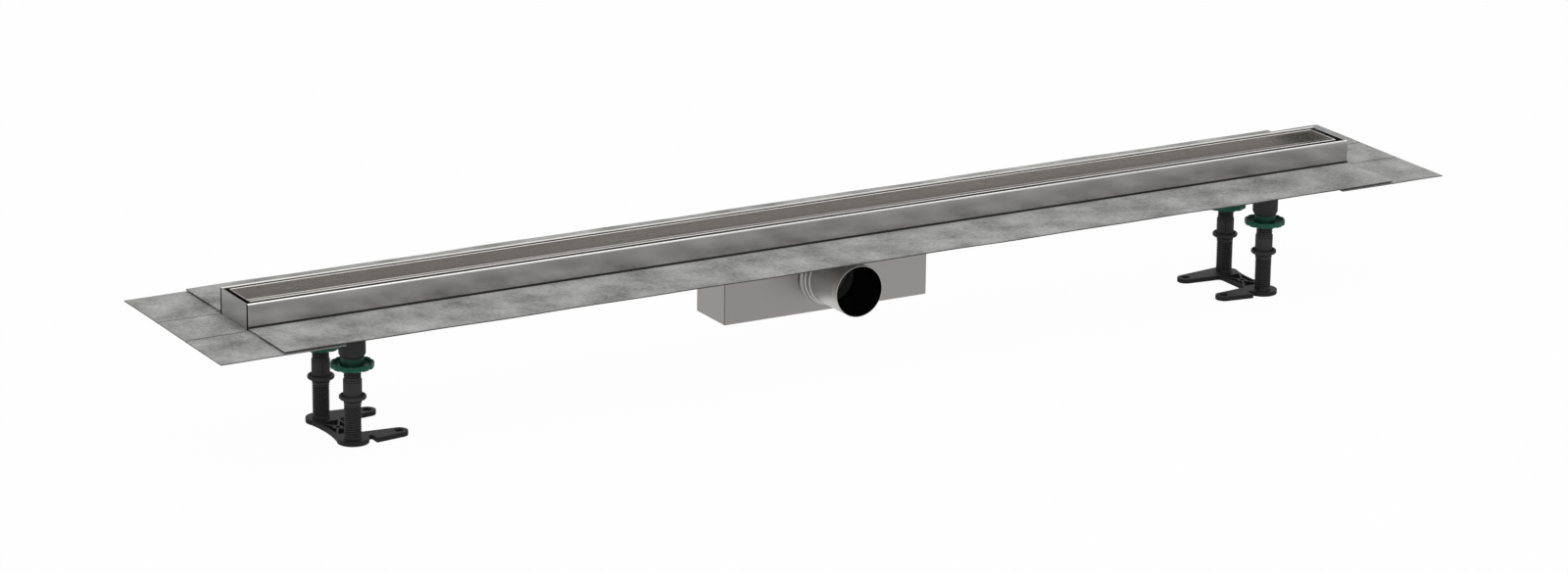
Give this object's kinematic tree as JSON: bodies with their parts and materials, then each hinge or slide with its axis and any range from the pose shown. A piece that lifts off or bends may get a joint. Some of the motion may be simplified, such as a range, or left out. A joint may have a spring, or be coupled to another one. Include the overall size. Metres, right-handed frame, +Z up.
{
  "type": "linear shower drain",
  "caption": "Stainless linear shower channel with a tile tray, sealing membrane, flat water trap with a side outlet, and height-adjustable feet.",
  "frame": {"origin": "on the floor under the middle of the channel", "axes": "+X along the channel, -Y the side of the outlet, +Z up"},
  "size_m": [1.322, 0.216, 0.144],
  "materials": {
    "channel_steel": "satin stainless sheet",
    "tray_steel": "satin stainless sheet",
    "trap_steel": "satin stainless sheet",
    "pipe_steel": "drawn stainless tube",
    "fitting_steel": "plain stainless sheet",
    "membrane": "mottled grey fleece",
    "black_plastic": "moulded, fine grain",
    "green_plastic": "moulded, fine grain",
    "spacer_plastic": "moulded",
    "trap_plastic": "moulded, smooth",
    "seal_rubber": "moulded rubber"
  },
  "bodies": {
    "channel": {"bracket_screws": "fitting_steel", "channel_trough": "channel_steel", "end_wall_left": "channel_steel", "end_wall_right": "channel_steel", "flange_front": "fitting_steel", "flange_rear": "fitting_steel", "foot_bracket_left": "fitting_steel", "foot_bracket_right": "fitting_steel", "funnel_seal": "seal_rubber", "hair_strainer": "fitting_steel", "membrane_front": "membrane", "membrane_left": "membrane", "membrane_rear": "membrane", "membrane_right": "membrane", "outlet_pipe": "pipe_steel", "socket_left_front": "black_plastic", "socket_left_rear": "black_plastic", "socket_right_front": "black_plastic", "socket_right_rear": "black_plastic", "tile_tray": "tray_steel", "trap_cup": "trap_plastic", "trap_funnel": "trap_plastic", "trap_housing": "trap_steel", "tray_spacer_1": "spacer_plastic", "tray_spacer_2": "spacer_plastic", "tray_spacer_3": "spacer_plastic", "tray_spacer_4": "spacer_plastic"},
    "foot_left": {"base_plate_left": "black_plastic", "stud_left_front": "black_plastic", "stud_left_rear": "black_plastic"},
    "foot_right": {"base_plate_right": "black_plastic", "stud_right_front": "black_plastic", "stud_right_rear": "black_plastic"},
    "nut_left_front": {"height_nut_left_front": "green_plastic"},
    "nut_left_rear": {"height_nut_left_rear": "green_plastic"},
    "nut_right_front": {"height_nut_right_front": "green_plastic"},
    "nut_right_rear": {"height_nut_right_rear": "green_plastic"}
  },
  "joints": [
    {"name": "foot_left_slide", "type": "slide", "parent": "channel", "child": "foot_left", "axis": [0, 0, 1], "range_m": [-0.016, 0.007]},
    {"name": "nut_left_front_turn", "type": "hinge", "parent": "channel", "child": "nut_left_front", "pos_m": [-0.5, -0.034, 0.0768], "axis": [0, 0, 1], "range_deg": [-1121, 2561]},
    {"name": "nut_left_rear_turn", "type": "hinge", "parent": "channel", "child": "nut_left_rear", "pos_m": [-0.5, 0.034, 0.0768], "axis": [0, 0, 1], "range_deg": [-1121, 2561]},
    {"name": "foot_right_slide", "type": "slide", "parent": "channel", "child": "foot_right", "axis": [0, 0, 1], "range_m": [-0.016, 0.007]},
    {"name": "nut_right_front_turn", "type": "hinge", "parent": "channel", "child": "nut_right_front", "pos_m": [0.5, -0.034, 0.0768], "axis": [0, 0, 1], "range_deg": [-1121, 2561]},
    {"name": "nut_right_rear_turn", "type": "hinge", "parent": "channel", "child": "nut_right_rear", "pos_m": [0.5, 0.034, 0.0768], "axis": [0, 0, 1], "range_deg": [-1121, 2561]}
  ],
  "couplings": [
    {"joint": "nut_left_front_turn", "follows": "foot_left_slide", "rad_per_m": -2792.5},
    {"joint": "nut_left_rear_turn", "follows": "foot_left_slide", "rad_per_m": -2792.5},
    {"joint": "nut_right_front_turn", "follows": "foot_right_slide", "rad_per_m": -2792.5},
    {"joint": "nut_right_rear_turn", "follows": "foot_right_slide", "rad_per_m": -2792.5}
  ]
}
